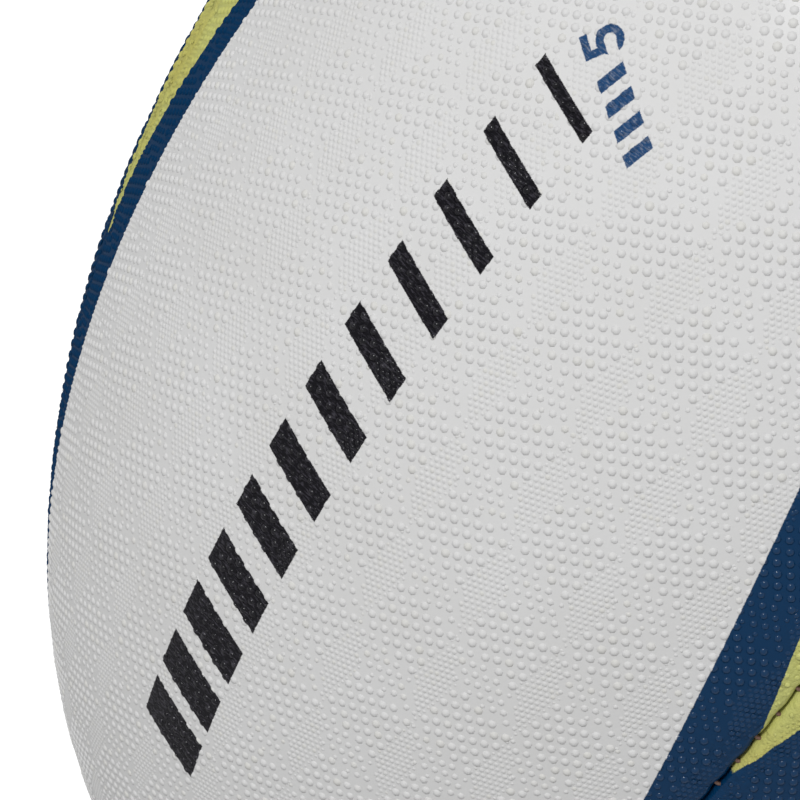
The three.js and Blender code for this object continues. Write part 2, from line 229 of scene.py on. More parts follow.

# Noise patterns, scaled by how many there are to a metre or, for creases and painted highlight streaks,
# to a millimetre of the flat sheet, and the noise between which most finishes change
GRAIN_NOISE = {"Detail": 2.0, "Roughness": 0.6}
MOTTLE_NOISE = {"Scale": 45.0, "Detail": 5.0, "Roughness": 0.62}
FUZZ_NOISE = {"Scale": 900.0, "Detail": 3.0}
CREASE_NOISE = {"Scale": 0.9, "Detail": 4.0, "Roughness": 0.6}
STREAK_NOISE = {"Scale": 1.0, "Detail": 4.0, "Roughness": 0.65}
NOISE_SPAN = (0.3, 0.7)

# Finish of the printed rubber: its grain and its print's edges in millimetres, and the grain's height on
# bare rubber and on ink
PRINT_GRAIN = 0.14
PRINT_SOFTNESS = 0.05
PRINT_STRAY = 0.06
PRINT_ROUGHNESS = (0.48, 0.58)
PRINT_COAT_ROUGHNESS = 0.2
PRINT_BUMP = (0.05, 1.0)
GRAIN_HEIGHT = (0.9, 1.6)

# Creases in the rubber beside a seam: how high they are, and the distances between which they fade out
CREASE_HEIGHT = 13.0
CREASE_SPAN = (1.0, 7.0)

# Painted highlight streaks in the black and blue inks, drawn out across the panel: how many to a
# millimetre along it and across it, how high those in black are raised as a bump, and how much white
# is painted into those in blue as highlight
STREAK_SCALE = (3.4, 0.8, 1)
STREAK_SPAN = (0.5, 0.67)
STREAK_HEIGHT = 1.4
BLUE_HIGHLIGHT_SHARE = 0.22

# Weight of the glossy coat on bare rubber and on ink. On ink it wears off between two places towards the
# back of the ball. It is polished on the pimples, whose tint is above the least one, and not between them.
BARE_GLOSS = 0.05
INK_GLOSS = 0.22
INK_GLOSS_WORN = 0.02
PIMPLE_POLISH = 1.8
LEAST_TINT = 0.01
WORN_FROM = 18
WORN_TO = 38

# Rubber without print: its colours where it is clean and dusty, its least roughness, and its grain in
# millimetres
PLAIN_RUBBERS = {
    "bladder": dict(
        name="bladder_rubber", colours=(srgb(32, 32, 34), srgb(58, 57, 56)),
        roughness=0.5, grain_size=0.3,
    ),
    "valve_boot": dict(
        name="boot_rubber", colours=(srgb(24, 24, 26), srgb(44, 44, 46)),
        roughness=0.42, grain_size=0.15,
    ),
    "valve_plug": dict(
        name="plug_rubber", colours=(srgb(140, 142, 146), srgb(160, 161, 163)),
        roughness=0.45, grain_size=0.15,
    ),
}
DUSTY_SPAN = (0.4, 0.75)
PLAIN_ROUGHNESS_RISE = 0.15
PLAIN_BUMP = (0.04, 0.5)

# Cloth of the plies: the pitch of its yarns in millimetres, where the weave's waves are cut off, how much
# of its shade is fuzz, and its finish between the yarns and on them
CLOTH_PITCH = 0.7
WEAVE_PEAK = 1.5
FUZZ_SHARE = 0.3
CLOTH_COLOURS = (srgb(196, 188, 165), srgb(232, 226, 206))
CLOTH_ROUGHNESS = (0.95, 0.8)
CLOTH_SHEEN = 0.15
CLOTH_BUMP = (0.1, 0.7)

# Waxed thread: its grain in millimetres, and its finish in the grain's hollows and on its heights
THREAD_GRAIN = 0.2
THREAD_COLOURS = (srgb(88, 64, 54), srgb(122, 90, 74))
THREAD_COLOUR_SPAN = (0.35, 0.65)
THREAD_ROUGHNESS = (0.65, 0.5)
THREAD_BUMP = (0.08, 0.8)


# How the flat sheet lies on the ball

OUTLINE_ANGLES = np.linspace(-math.pi / 2, math.pi / 2, OUTLINE_STEPS + 1)


def outline_arcs():
    """The length along the outline from the girth to each of OUTLINE_ANGLES."""
    speed = np.hypot(HALF_LENGTH * np.cos(OUTLINE_ANGLES), HALF_GIRTH * np.sin(OUTLINE_ANGLES))
    steps = (speed[1:] + speed[:-1]) / 2 * np.diff(OUTLINE_ANGLES)
    arcs = np.concatenate([[0], np.cumsum(steps)])
    return arcs - arcs[len(arcs) // 2]


OUTLINE_ARCS = outline_arcs()
TIP_ALONG = float(np.interp(math.acos(TIP_RADIUS / HALF_GIRTH), OUTLINE_ANGLES, OUTLINE_ARCS))


def section(along):
    """The ball's section at places along the sheet: where it lies, its radius, the way its outline faces,
    half the sheet's width up to the seam, the radius of the rolled shoulder and the width of the face."""
    angle = np.interp(along, OUTLINE_ARCS, OUTLINE_ANGLES)
    x, radius = HALF_LENGTH * np.sin(angle), HALF_GIRTH * np.cos(angle)
    slope_x, slope_out = x / HALF_LENGTH**2, radius / HALF_GIRTH**2
    slope = np.hypot(slope_x, slope_out)
    half_width = radius * HALF_TURN
    roll = np.minimum(SHOULDER_RADIUS, SHOULDER_SHARE * (radius * math.sin(HALF_TURN) - SEAM_HALF_GAP))
    face = half_width - SEAM_HALF_GAP - roll
    return x, radius, slope_x / slope, slope_out / slope, half_width, roll, face


def wrap(along, across):
    """Places points of the flat sheet on the panel that faces +Y: where they lie and the way they face."""
    x, radius, facing_x, facing_out, _, roll, face = section(along)
    side = np.where(across < 0, -1.0, 1.0)
    past_face = np.maximum(np.abs(across) - face, 0)
    bend = np.minimum(past_face / roll, math.pi / 2)
    flange = np.maximum(past_face - roll * math.pi / 2, 0)
    depth = roll * (1 - np.cos(bend)) + flange
    seam_distance = SEAM_HALF_GAP + roll * (1 - np.sin(bend))
    deep_radius = radius - depth * facing_out
    edge_turn = HALF_TURN - np.arcsin(seam_distance / deep_radius)
    turn = side * edge_turn * np.minimum(np.abs(across) / face, 1)
    places = np.stack([x - depth * facing_x, deep_radius * np.cos(turn), deep_radius * np.sin(turn)], 1)
    outward = np.stack([facing_x, facing_out * np.cos(turn), facing_out * np.sin(turn)], 1)
    seamward = np.stack([0 * side, 0 * side - math.sin(HALF_TURN), side * math.cos(HALF_TURN)], 1)
    facing = np.cos(bend)[:, None] * outward + np.sin(bend)[:, None] * seamward
    places -= pucker(along, across)[:, None] * outward
    return places, facing / np.linalg.norm(facing, axis=1)[:, None]


def pucker(along, across):
    """How deep the sewing pulls the sheet in: most at each stitch, and nothing a little way from the seam."""
    nearness = np.clip(1 - (section(along)[4] - np.abs(across)) / PUCKER_WIDTH, 0, 1)
    hole = np.rint(along / STITCH_PITCH)
    uneven = 1 + PUCKER_SPREAD * np.sin(hole * hole + PUCKER_WANDER * hole)
    pull = ((1 + np.cos(2 * math.pi * (along / STITCH_PITCH - hole))) / 2) ** 2
    return PUCKER_DEPTH * uneven * nearness**2 * pull


def turned(points, quarter_turns):
    """Points of the panel that faces +Y, turned about the long axis to another panel's side."""
    turn = Matrix.Rotation(math.pi / 2 * quarter_turns, 3, "X")
    return points @ np.array(turn).T


def stripe_reach(along, side, stripe):
    """How far a stripe reaches from the seam: half a sine wave between its ends."""
    reaches = []
    for sign in (1, -1):
        start, length, widest = stripe[sign]
        share = np.clip((along - start) / length, 0, 1)
        reaches.append(widest * np.sin(math.pi * share))
    return np.where(side < 0, reaches[1], reaches[0])


# Meshes from sheet coordinates


def to_metres(mesh):
    mesh.transform(Matrix.Scale(MM, 4))


def set_floats(mesh, name, values):
    layer = mesh.attributes.new(name, "FLOAT", "POINT")
    layer.data.foreach_set("value", np.asarray(values, np.float32))


def set_vectors(mesh, name, values):
    layer = mesh.attributes.new(name, "FLOAT_VECTOR", "POINT")
    layer.data.foreach_set("vector", np.asarray(values, np.float32).ravel())


def mark_sheet(mesh, side, along, across, under, tint):
    """Stores where each point lies on the flat sheet, for the print, and a map of the sheet whose upper
    half holds its outside and whose lower half holds what is under it."""
    half_width = section(along)[4]
    seam_distance = half_width - np.abs(across)
    set_vectors(mesh, "sheet", np.stack([along, across, 0 * along], 1))
    printed = along - PRINT_SHIFT[side]
    from_groove = np.maximum(seam_distance, GROOVE_REACH)
    set_floats(mesh, "navy_edge", stripe_reach(printed, across, NAVY_STRIPE) - from_groove)
    set_floats(mesh, "lime_edge", stripe_reach(printed, across, LIME_STRIPE) - from_groove)
    set_floats(mesh, "seam_distance", seam_distance)
    set_floats(mesh, "tint", tint + 0 * along)
    widest = HALF_GIRTH * HALF_TURN + SHOULDER_RADIUS + FLANGE_REACH
    flat = np.stack([(along / TIP_ALONG + 1) / 2, (across / widest + 1) / 4 + np.where(under, 0, 0.5)], 1)
    corners = np.zeros(len(mesh.loops), np.int32)
    mesh.loops.foreach_get("vertex_index", corners)
    mesh.uv_layers.new(name="OFBake").uv.foreach_set("vector", flat[corners].astype(np.float32).ravel())


def add_piece(name, mesh, material, slot, *nodes):
    """Puts a finished mesh in the scene as a piece on the ball's one body."""
    mesh.materials.clear()
    mesh.materials.append(material)
    piece = bpy.data.objects.new(name, mesh)
    bpy.context.scene.collection.objects.link(piece)
    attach(piece, "root")
    if nodes:
        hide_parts(*nodes)


def sheet_columns(along):
    """How far across the sheet each column of the grid lies, at places along it."""
    _, _, _, _, _, roll, face = section(along)
    bend = roll * math.pi / 2
    half = [face * step / (FACE_COLUMNS / 2) for step in range(FACE_COLUMNS // 2 + 1)]
    half += [face + bend * step / SHOULDER_COLUMNS for step in range(1, SHOULDER_COLUMNS + 1)]
    half += [face + bend + FLANGE_REACH * step / FLANGE_COLUMNS for step in range(1, FLANGE_COLUMNS + 1)]
    return np.stack([-column for column in half[:0:-1]] + half)


def sheet_blank():
    """The flat sheet: a pointed gore with its seam allowance, one face thick."""
    columns = FACE_COLUMNS + 2 * (SHOULDER_COLUMNS + FLANGE_COLUMNS)
    blank = bmesh.new()
    bmesh.ops.create_grid(blank, x_segments=STATION_COUNT, y_segments=columns, size=1)
    grid = np.array([vert.co for vert in blank.verts])
    station = np.rint((grid[:, 0] + 1) / 2 * STATION_COUNT).astype(int)
    column = np.rint((grid[:, 1] + 1) / 2 * columns).astype(int)
    tip_turn = math.acos(TIP_RADIUS / HALF_GIRTH)
    station_turns = np.linspace(-tip_turn, tip_turn, STATION_COUNT + 1)
    stations = np.interp(station_turns, OUTLINE_ANGLES, OUTLINE_ARCS)
    across = sheet_columns(stations)
    for vert, along_index, across_index in zip(blank.verts, station, column):
        vert.co = (stations[along_index], across[across_index, along_index], 0)
    return blank


def punch_valve_hole(blank):
    """Cuts a round hole in the middle of the flat sheet: finer faces there are taken out, and the ragged
    edge that is left gets a lip that reaches to the hole's circle."""
    around = [face for face in blank.faces if face.calc_center_median().length < 2 * VALVE_HOLE_RADIUS]
    fine_edges = list({edge for face in around for edge in face.edges})
    bmesh.ops.subdivide_edges(blank, edges=fine_edges, cuts=VALVE_HOLE_CUTS, use_grid_fill=True)
    reach = VALVE_HOLE_RADIUS + VALVE_HOLE_LIP
    middle = [face for face in blank.faces if face.calc_center_median().length < reach]
    bmesh.ops.delete(blank, geom=middle, context="FACES")
    inner = [edge for edge in blank.edges if edge.verts[0].co.length < 2 * VALVE_HOLE_RADIUS]
    rim = [edge for edge in inner if edge.is_boundary]
    lip = bmesh.ops.extrude_edge_only(blank, edges=rim)["geom"]
    for vert in lip:
        if isinstance(vert, bmesh.types.BMVert):
            vert.co *= VALVE_HOLE_RADIUS / vert.co.length
    bmesh.ops.recalc_face_normals(blank, faces=blank.faces)


def panel_sheet(side, quarter_turns, material):
    """A panel's rubber sheet: the blank given its thickness, wrapped on the ball and turned to its side."""
    blank = sheet_blank()
    if side == "back":
        punch_valve_hole(blank)
    blank.normal_update()
    bmesh.ops.solidify(blank, geom=blank.faces, thickness=SHEET_WALL)
    mesh = bpy.data.meshes.new("facing_" + side)
    flat = np.array([vert.co for vert in blank.verts])
    along, across, height = flat.T
    places, facing = wrap(along, across)
    roll = section(along)[5]
    places = places + np.maximum(height, -THINNEST_SHARE * roll)[:, None] * facing
    for vert, place in zip(blank.verts, turned(places, quarter_turns)):
        vert.co = place
    bmesh.ops.recalc_face_normals(blank, faces=blank.faces)
    blank.to_mesh(mesh)
    blank.free()
    mark_sheet(mesh, side, along, across, height < -SHEET_WALL / 2, 0)
    mesh.shade_smooth()
    to_metres(mesh)
    add_piece("dressed_facing_" + side, mesh, material, "facing_rubber", "facing_" + side)


# Pimples of the moulded grip


def pimple_shape(kind):
    """One pimple on a flat base, with its root below the sheet: its corners and triangles, and the way each
    corner is shaded, which is steeper than its faces so that so few of them look round and raised."""
    shape = bmesh.new()
    radius, height = kind["radius"], kind["height"]
    shoulder = PIMPLE_SHOULDER_HEIGHT * height if kind["shoulder"] else height
    bmesh.ops.create_cone(
        shape, cap_ends=True, segments=kind["sides"],
        radius1=radius, radius2=radius * kind["shoulder"], depth=shoulder + PIMPLE_ROOT,
    )
    bmesh.ops.translate(shape, verts=shape.verts, vec=(0, 0, (shoulder - PIMPLE_ROOT) / 2))
    if kind["shoulder"]:
        top = max(shape.faces, key=lambda face: face.calc_center_median().z)
        bmesh.ops.poke(shape, faces=[top], offset=height - shoulder)
    else:
        bmesh.ops.remove_doubles(shape, verts=shape.verts, dist=radius * MERGE_SHARE)
    bmesh.ops.triangulate(shape, faces=shape.faces)
    bmesh.ops.recalc_face_normals(shape, faces=shape.faces)
    shape.verts.index_update()
    corners = np.array([vert.co for vert in shape.verts])
    triangles = np.array([[vert.index for vert in face.verts] for face in shape.faces])
    shape.free()
    # A round cap's slope is nothing at its top and twice its height over its radius at its rim
    rims = corners[:, :2] / radius
    foot_lean = PIMPLE_FOOT_LEAN if kind["shoulder"] else PIMPLE_LEAN
    lean = np.where(corners[:, 2] < 0, foot_lean, PIMPLE_LEAN)
    slopes = rims * (lean * 2 * height / radius)[:, None]
    facing = np.column_stack([slopes, np.ones(len(corners))])
    return corners, triangles, facing / np.linalg.norm(facing, axis=1)[:, None]


def within(shares, spans):
    """Whether each share lies in its span."""
    return all(low < share < high for share, (low, high) in zip(shares, spans))


def patch_pimples(kind):
    """Where the pimples of one patch lie, from the patch's middle, and how large each one is."""
    to_edges = np.linalg.inv(np.stack(kind["edges"], 1))
    places, sizes = [], []
    for row in range(-PATCH_REACH, PATCH_REACH + 1):
        for step in range(-PATCH_REACH, PATCH_REACH + 1):
            shift = 0.5 if kind["staggered"] and row % 2 else 0
            place = kind["first"] + (step + shift) * kind["step"] + row * kind["row"]
            shares = to_edges @ place
            if within(shares, kind["partial"]):
                places.append(place)
                sizes.append(1 if within(shares, kind["whole"]) else PARTIAL_PIMPLE)
    return np.array(places), np.array(sizes)


def grip_places(kind, side):
    """Every place along and across the sheet with a pimple of this kind, and the pimple's size there."""
    cells = []
    for row in range(-GRIP_ROWS, GRIP_ROWS + 1):
        for step in range(-GRIP_STEPS, GRIP_STEPS + 1):
            cells.append(GRIP_START + step * (LONG_EDGE + SHORT_EDGE) + row * (LONG_EDGE + CROSS_EDGE))
    in_patch, sizes = patch_pimples(kind)
    places = (np.array(cells)[:, None] + kind["middle"] + in_patch[None]).reshape(-1, 2)
    sizes = np.tile(sizes, len(cells))
    seam_distance = section(places[:, 0])[4] - np.abs(places[:, 1])
    keep = (np.abs(places[:, 0]) < TIP_ALONG - GRIP_TIP_MARGIN) & (seam_distance > GRIP_SEAM_MARGIN)
    if side == "back":
        keep &= np.hypot(*places.T) > GRIP_VALVE_MARGIN
    grown = np.clip((seam_distance - GRIP_SEAM_MARGIN) / (GRIP_FULL_DISTANCE - GRIP_SEAM_MARGIN), 0, 1)
    return places[keep], (sizes * (GRIP_LEAST + (1 - GRIP_LEAST) * grown))[keep]


def grip_pimples(size, side, quarter_turns, material, random):
    """All pimples of one size on one panel, as one piece."""
    kind = GRIP[size]
    corners, triangles, leans = pimple_shape(kind)
    places, sizes = grip_places(kind, side)
    along, across = places.T
    base, facing = wrap(along, across)
    ahead = wrap(along + NEARBY, across)[0] - base
    ahead -= (ahead * facing).sum(1)[:, None] * facing
    ahead /= np.linalg.norm(ahead, axis=1)[:, None]
    sideways = np.cross(facing, ahead)
    scale = sizes * (1 + PIMPLE_SPREAD * random.uniform(-1, 1, len(places)))
    sized = scale[:, None, None] * corners[None]
    points = base[:, None] + sized[..., :1] * ahead[:, None] + sized[..., 1:2] * sideways[:, None]
    points += sized[..., 2:] * facing[:, None]
    points = turned(points.reshape(-1, 3), quarter_turns)
    faces = (triangles[None] + len(corners) * np.arange(len(places))[:, None, None]).reshape(-1, 3)
    mesh = bpy.data.meshes.new(f"{size}_pimples_{side}")
    mesh.from_pydata(points, [], faces)
    tint = np.repeat(random.uniform(0, 1, len(places)), len(corners))
    sheet = (places[:, None] + sized[..., :2] * (1, -1)).reshape(-1, 2)
    mark_sheet(mesh, side, sheet[:, 0], sheet[:, 1], False, tint)
    mesh.shade_smooth()
    normals = sum(leans[:, axis, None] * way[:, None] for axis, way in enumerate((ahead, sideways, facing)))
    mesh.normals_split_custom_set_from_vertices(turned(normals.reshape(-1, 3), quarter_turns))
    to_metres(mesh)
    add_piece(f"{size}_pimples_{side}", mesh, material, "facing_rubber")


# Sewing


def stitch_path():
    """The thread's path in a seam: how far along the ball, across the seam and below the surface. It
    crosses the seam at every hole and runs on inside the panel to the next one."""
    count = int((TIP_ALONG - SEAM_END_MARGIN) / STITCH_PITCH)
    path = []
    for hole in range(-count, count + 1):
        way = 1 if hole % 2 else -1
        for share in STITCH_SHARES:
            depth = STITCH_DEPTH + STITCH_DROP * share * share
            path.append((hole * STITCH_PITCH, way * share * STITCH_REACH, depth))
    return np.array(path)


def sewn_thread(name, quarter_turns, material, node):
    """The sewing of one seam: a round thread along the stitch path."""
    along, across, depth = stitch_path().T
    x, radius, facing_x, facing_out, *_ = section(along)
    centre = np.stack([x - depth * facing_x, radius - depth * facing_out, across], 1)
    outward = np.stack([facing_x, facing_out, 0 * x], 1)
    way = np.gradient(centre, axis=0)
    way /= np.linalg.norm(way, axis=1)[:, None]
    outward -= (outward * way).sum(1)[:, None] * way
    outward /= np.linalg.norm(outward, axis=1)[:, None]
    beside = np.cross(way, outward)
    rolled = bmesh.new()
    bmesh.ops.create_grid(rolled, x_segments=len(along) - 1, y_segments=THREAD_SIDES, size=1)
    grid = np.array([vert.co for vert in rolled.verts])
    ring = np.rint((grid[:, 0] + 1) / 2 * (len(along) - 1)).astype(int)
    turn = (grid[:, 1] + 1) * math.pi
    out = THREAD_RADIUS * np.cos(turn)[:, None] * outward[ring]
    places = centre[ring] + out + THREAD_RADIUS * np.sin(turn)[:, None] * beside[ring]
    for vert, place in zip(rolled.verts, turned(places, quarter_turns)):
        vert.co = place
    bmesh.ops.remove_doubles(rolled, verts=rolled.verts, dist=THREAD_RADIUS * MERGE_SHARE)
    bmesh.ops.holes_fill(rolled, edges=[edge for edge in rolled.edges if edge.is_boundary])
    bmesh.ops.recalc_face_normals(rolled, faces=rolled.faces)
    mesh = bpy.data.meshes.new(name)
    rolled.to_mesh(mesh)
    rolled.free()
    mesh.shade_smooth()
    to_metres(mesh)
    add_piece(name, mesh, material, "waxed_thread", node)


# Materials


class Nodes:
    """Short forms for adding nodes to one material or group."""

    def __init__(self, tree):
        self.tree = tree

    def add(self, kind, inputs=None, **settings):
        node = self.tree.nodes.new(kind)
        for name, value in settings.items():
            setattr(node, name, value)
        for name, value in (inputs or {}).items():
            self.set(node.inputs[name], value)
        return node

    def set(self, socket, value):
        if isinstance(value, bpy.types.NodeSocket):
            self.tree.links.new(value, socket)
        else:
            socket.default_value = value

    def math(self, operation, *values):
        return self.add("ShaderNodeMath", dict(enumerate(values)), operation=operation).outputs[0]

    def chain(self, operation, first, *others):
        """The result of an operation that takes in one value after another."""
        for value in others:
            first = self.math(operation, first, value)
        return first

    def distance_from(self, value, middle, half):
        """How far outside a span a value lies, negative inside it."""
        return self.math("SUBTRACT", self.math("ABSOLUTE", self.math("SUBTRACT", value, middle)), half)

    def box_distance(self, place, middle, half_size):
        """How far outside a box a place lies, negative inside it."""
        distances = [self.distance_from(*axis) for axis in zip(place, middle, half_size)]
        return self.math("MAXIMUM", *distances)

    def weighted(self, values, weights):
        """The sum of two values, each times its weight."""
        return self.math("ADD", *[self.math("MULTIPLY", *pair) for pair in zip(values, weights)])

    def attribute(self, name, output="Fac"):
        return self.add("ShaderNodeAttribute", attribute_name=name).outputs[output]

    def place(self):
        return self.add("ShaderNodeTexCoord").outputs["Object"]

    def parts(self, vector):
        return self.add("ShaderNodeSeparateXYZ", {"Vector": vector}).outputs

    def noise(self, place, pattern):
        return self.add("ShaderNodeTexNoise", {"Vector": place, **pattern}).outputs[0]

    def ramp(self, value, low, high, to_low=0.0, to_high=1.0):
        inputs = {"Value": value, "From Min": low, "From Max": high, "To Min": to_low, "To Max": to_high}
        return self.add("ShaderNodeMapRange", inputs).outputs["Result"]

    def mix(self, share, first, second):
        node = self.add("ShaderNodeMix", data_type="RGBA")
        self.set(node.inputs[0], share)
        self.set(node.inputs[6], first)
        self.set(node.inputs[7], second)
        return node.outputs[2]

    def bump(self, height, distance, strength):
        inputs = {"Height": height, "Distance": distance * MM, "Strength": strength}
        return self.add("ShaderNodeBump", inputs).outputs["Normal"]

    def group(self, group, **inputs):
        node = self.add("ShaderNodeGroup", node_tree=group)
        for name, value in inputs.items():
            self.set(node.inputs[name], value)
        return node


def new_group(name, inputs, outputs):
    group = bpy.data.node_groups.new(name, "ShaderNodeTree")
    for label, value in inputs.items():
        socket = group.interface.new_socket(label, in_out="INPUT", socket_type="NodeSocketFloat")
        socket.default_value = value
    for label in outputs:
        group.interface.new_socket(label, in_out="OUTPUT", socket_type="NodeSocketFloat")
    nodes = Nodes(group)
    return group, nodes, nodes.add("NodeGroupInput").outputs, nodes.add("NodeGroupOutput").inputs


def rubber_grain_group():
    """Uneven colour and fine grain of moulded rubber, at a grain size in millimetres."""
    group, nodes, given, result = new_group("rubber_grain", {"Grain": PRINT_GRAIN}, ("Mottle", "Height"))
    place = nodes.place()
    per_metre = nodes.math("DIVIDE", 1 / MM, given["Grain"])
    nodes.set(result["Height"], nodes.noise(place, {"Scale": per_metre, **GRAIN_NOISE}))
    nodes.set(result["Mottle"], nodes.noise(place, MOTTLE_NOISE))
    return group


def cloth_weave_group():
    """Plain weave of yarns at a pitch in millimetres: a mask of the yarns' shade, and a height."""
    group, nodes, given, result = new_group("cloth_weave", {"Pitch": CLOTH_PITCH}, ("Shade", "Height"))
    place = nodes.place()
    turns = nodes.math("DIVIDE", 2 * math.pi / MM, given["Pitch"])
    waves = [nodes.math("SINE", nodes.math("MULTIPLY", part, turns)) for part in nodes.parts(place)]
    woven = nodes.math("MULTIPLY", waves[0], nodes.math("ADD", waves[1], waves[2]))
    yarns = nodes.ramp(woven, -WEAVE_PEAK, WEAVE_PEAK, 0, 1 - FUZZ_SHARE)
    fuzz = nodes.math("MULTIPLY", nodes.noise(place, FUZZ_NOISE), FUZZ_SHARE)
    nodes.set(result["Height"], nodes.ramp(woven, -WEAVE_PEAK, WEAVE_PEAK))
    nodes.set(result["Shade"], nodes.math("ADD", yarns, fuzz))
    return group


def new_material(name, **settings):
    """A material with a plain Principled shader whose named sockets are set."""
    material = bpy.data.materials.new(name)
    material.use_nodes = True
    shader = material.node_tree.nodes["Principled BSDF"]
    for label, value in settings.items():
        shader.inputs[label.replace("_", " ")].default_value = value
    return material, Nodes(material.node_tree), shader.inputs


# Print


def bar_row_distance(nodes, along, up, row):
    """Distance outside a row of slanted bars, whose width may change along the row."""
    slanted = nodes.math("ADD", along, nodes.math("MULTIPLY", up, BAR_SLANT))
    turn = nodes.math("DIVIDE", nodes.math("SUBTRACT", slanted, row["start"]), row["pitch"])
    first, last = row["width"]
    half_width = nodes.ramp(nodes.math("FLOOR", turn), 0, row["count"] - 1, first / 2, last / 2)
    from_middle = nodes.math("ABSOLUTE", nodes.math("SUBTRACT", nodes.math("FRACT", turn), 0.5))
    beside = nodes.math("SUBTRACT", nodes.math("MULTIPLY", from_middle, row["pitch"]), half_width)
    above = nodes.distance_from(up, row["middle"], row["height"] / 2)
    beyond = nodes.distance_from(turn, row["count"] / 2, row["count"] / 2)
    return nodes.chain("MAXIMUM", beside, above, beyond)


def black_bars_distance(nodes, along, across):
    """Distance outside the row of black bars, which climbs a little along the panel."""
    row_middle = nodes.math("ADD", nodes.math("MULTIPLY", along, BLACK_ROW_SLOPE), BLACK_ROW_MIDDLE)
    return bar_row_distance(nodes, along, nodes.math("SUBTRACT", across, row_middle), BLACK_BARS)


def numeral_distance(nodes, right, up):
    """Distance outside a plain figure 5, drawn as a flag, a stem and an open bowl."""
    flag = nodes.box_distance((right, up), FLAG_MIDDLE, (FLAG_HALF_LENGTH, HALF_STROKE))
    stem = nodes.box_distance((right, up), STEM_MIDDLE, (HALF_STROKE, STEM_HALF_LENGTH))
    below = nodes.math("ADD", up, BOWL_DROP)
    reach = nodes.math("SQRT", nodes.weighted((right, below), (right, below)))
    ring = nodes.distance_from(reach, BOWL_RADIUS, HALF_STROKE)
    gap = nodes.box_distance((right, below), GAP_MIDDLE, GAP_HALF_SIZE)
    bowl = nodes.math("MAXIMUM", ring, nodes.math("MULTIPLY", gap, -1))
    return nodes.chain("MINIMUM", flag, stem, bowl)


def size_mark_distance(nodes, along, across):
    """Distance outside the small bars and the numeral that follows them, which read slantwise."""
    away = [nodes.math("SUBTRACT", *pair) for pair in zip((along, across), SIZE_PLACE)]
    ahead, sideways = SIZE_WAY
    right = nodes.math("SUBTRACT", nodes.weighted(away, (ahead, sideways)), NUMERAL_START)
    up = nodes.weighted(away, (sideways, -ahead))
    numeral = numeral_distance(nodes, right, up)
    return nodes.math("MINIMUM", numeral, bar_row_distance(nodes, right, up, SMALL_BARS))


def stripe_ink(nodes, edge, stray):
    """Where a stripe is printed, from the distance inside its edge, which strays a little."""
    inside = nodes.math("ADD", nodes.attribute(edge), stray)
    return nodes.ramp(inside, -PRINT_SOFTNESS, PRINT_SOFTNESS)


def mark_ink(nodes, distance, stray):
    """Where a mark is printed, from the distance outside its edge, which strays a little."""
    return nodes.ramp(nodes.math("ADD", distance, stray), PRINT_SOFTNESS, -PRINT_SOFTNESS)


def white_rubber(nodes, mottle, tint):
    """Off-white colour of the bare rubber: some pimples are yellowed, and all of it is mottled."""
    yellowing = nodes.ramp(tint, *YELLOWED_SPAN, 0, YELLOWED_SHARE)
    yellowed = nodes.mix(yellowing, RUBBER_WHITE, YELLOWED_WHITE)
    return nodes.mix(nodes.ramp(mottle, *MOTTLED_SPAN, 0, MOTTLED_SHARE), yellowed, MOTTLED_WHITE)


def seam_creases(nodes, sheet):
    """Height of the creases in the rubber beside the seams."""
    creases = nodes.noise(sheet, CREASE_NOISE)
    near_seam = nodes.ramp(nodes.attribute("seam_distance"), *CREASE_SPAN, 1, 0)
    return nodes.math("MULTIPLY", nodes.math("MULTIPLY", creases, near_seam), CREASE_HEIGHT)


def painted_ink_streaks(nodes, sheet):
    """Where painted highlight streaks lie in the black and blue inks."""
    stretched = nodes.add("ShaderNodeMapping", {"Vector": sheet, "Scale": STREAK_SCALE}).outputs[0]
    return nodes.ramp(nodes.noise(stretched, STREAK_NOISE), *STREAK_SPAN)


def printed_marks(nodes, sheet, stray, white, under):
    """The black bars and the blue size mark: the colour with them printed on it and painted highlight streaks
    in them, where they are, and the height of the streaks in the bars."""
    parts = nodes.parts(sheet)
    bars = mark_ink(nodes, black_bars_distance(nodes, parts["X"], parts["Y"]), stray)
    size = mark_ink(nodes, size_mark_distance(nodes, parts["X"], parts["Y"]), stray)
    highlight_streaks = painted_ink_streaks(nodes, sheet)
    # Painted highlight: the streaks are a lighter black in the bars, and let white show through the blue
    black = nodes.mix(highlight_streaks, INK_BLACK, PAINTED_HIGHLIGHT_BLACK)
    blue = nodes.mix(nodes.ramp(highlight_streaks, 0, 1, 0, BLUE_HIGHLIGHT_SHARE), INK_BLUE, white)
    colour = nodes.mix(size, nodes.mix(bars, under, black), blue)
    raised = nodes.math("MULTIPLY", nodes.math("MULTIPLY", highlight_streaks, bars), STREAK_HEIGHT)
    return colour, nodes.math("MAXIMUM", bars, size), raised


def coat_weight(nodes, inked, tint):
    """Weight of the glossy coat: little on bare rubber, more on ink, but not where that is worn."""
    worn = nodes.ramp(nodes.parts(nodes.place())["Y"], WORN_FROM * MM, WORN_TO * MM)
    polished = nodes.ramp(tint, 0, LEAST_TINT, 1, PIMPLE_POLISH)
    gloss = nodes.math("MULTIPLY", nodes.ramp(worn, 0, 1, INK_GLOSS, INK_GLOSS_WORN), polished)
    return nodes.math("MAXIMUM", nodes.math("MULTIPLY", inked, gloss), BARE_GLOSS)


